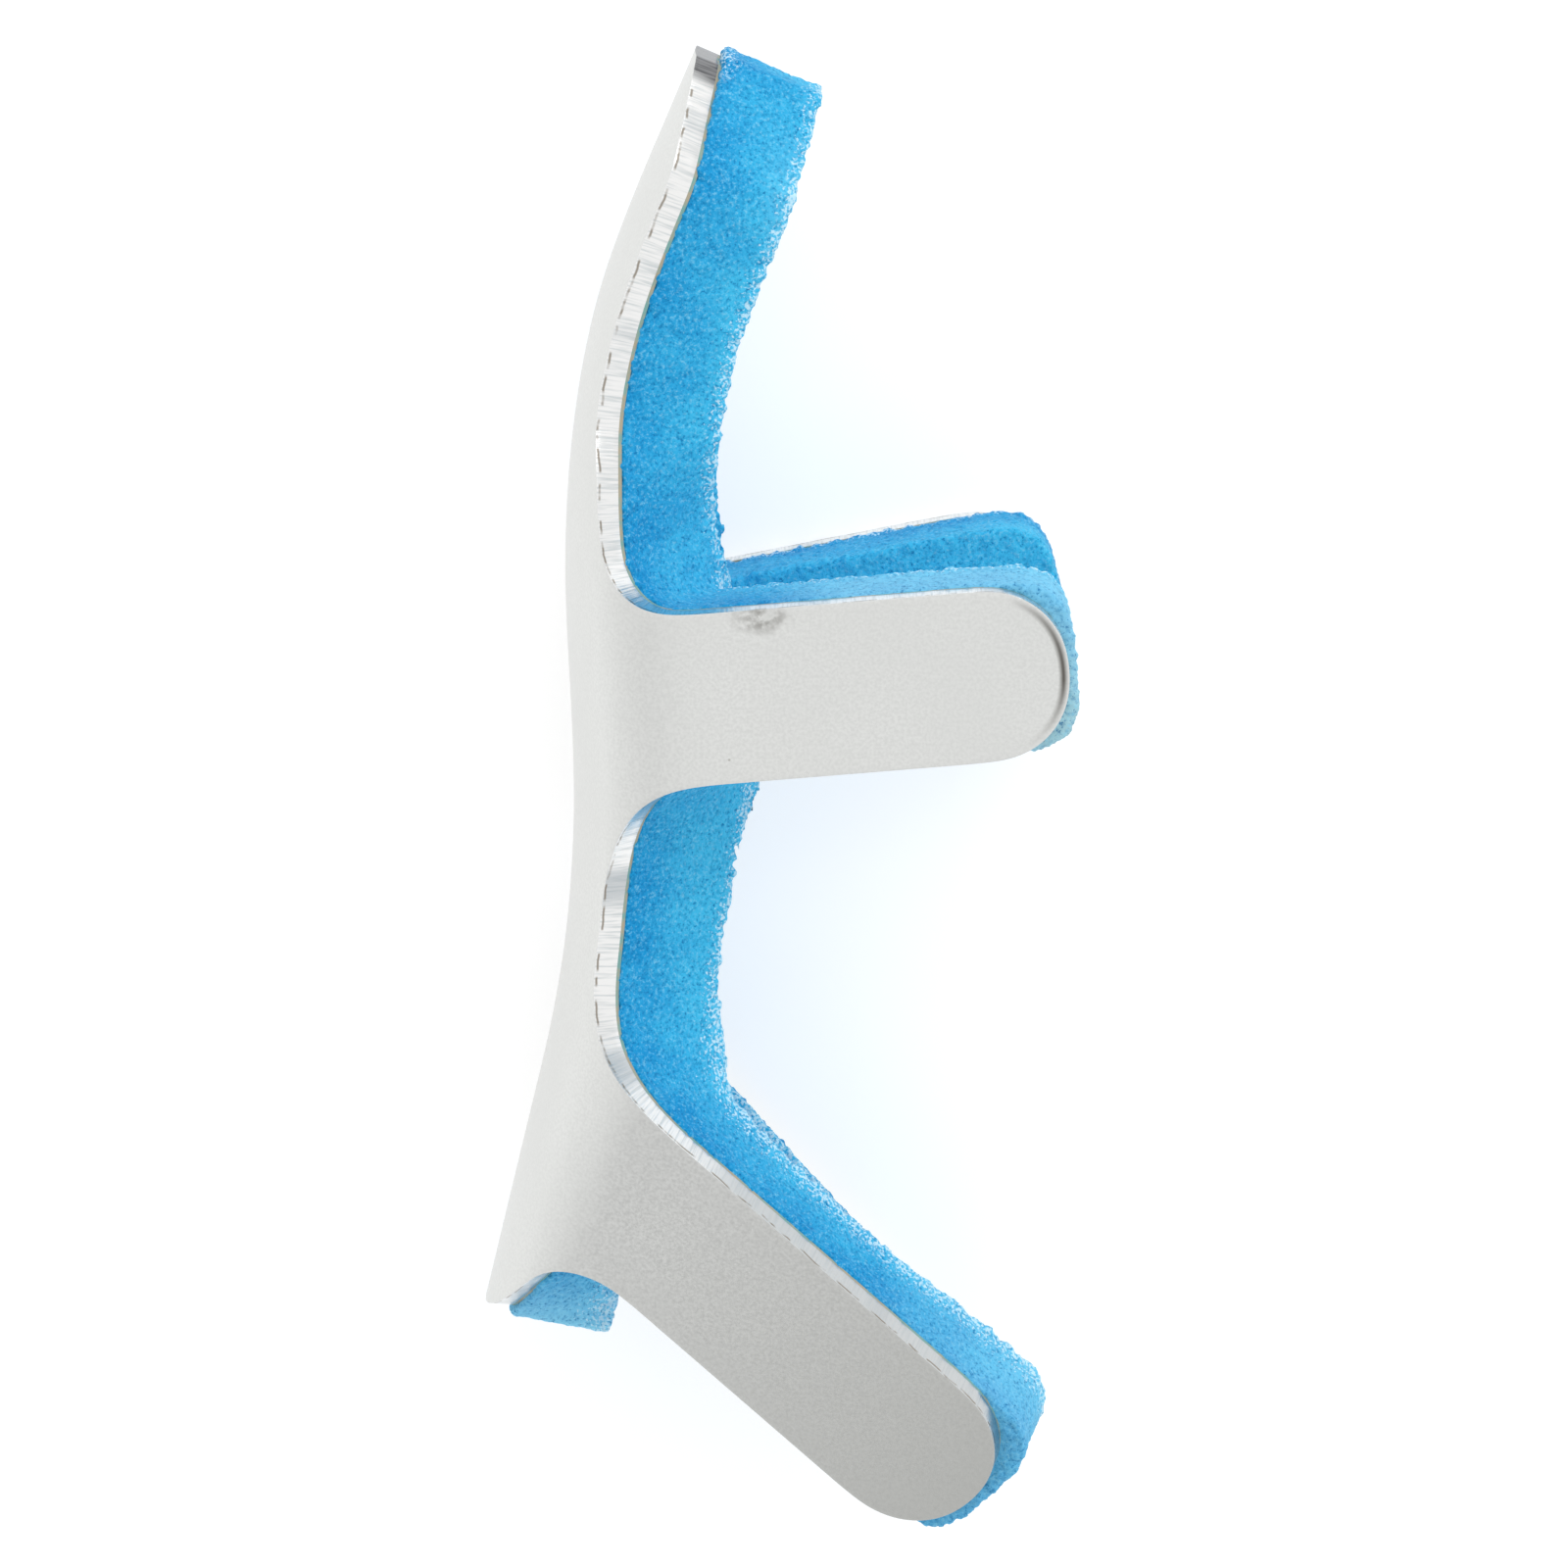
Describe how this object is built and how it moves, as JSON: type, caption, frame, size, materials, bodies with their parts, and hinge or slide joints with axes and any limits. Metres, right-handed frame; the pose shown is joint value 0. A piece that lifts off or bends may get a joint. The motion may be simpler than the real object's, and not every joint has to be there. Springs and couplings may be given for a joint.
{
  "type": "aluminium foam finger splint",
  "caption": "Finger splint: a soft aluminium sheet bent into a gutter with two folded arms and two folded legs, lined with bonded blue foam.",
  "frame": {"origin": "middle of the bounding box over the plane it lies on, with the far arm's outer face on z = 0", "axes": "+Y runs up the spine from the tail to the tip, +X is the way the arms reach round the finger, +Z points from the side it lies on to the upper side"},
  "size_m": [0.0354, 0.0896, 0.0256],
  "materials": {
    "aluminium_sheet": "satin rolled sheet with sheared edges",
    "blue_foam": "matt open-cell polyurethane foam"
  },
  "bodies": {
    "root": {"aluminium_shell": "aluminium_sheet", "foam_pad": "blue_foam"}
  },
  "joints": []
}
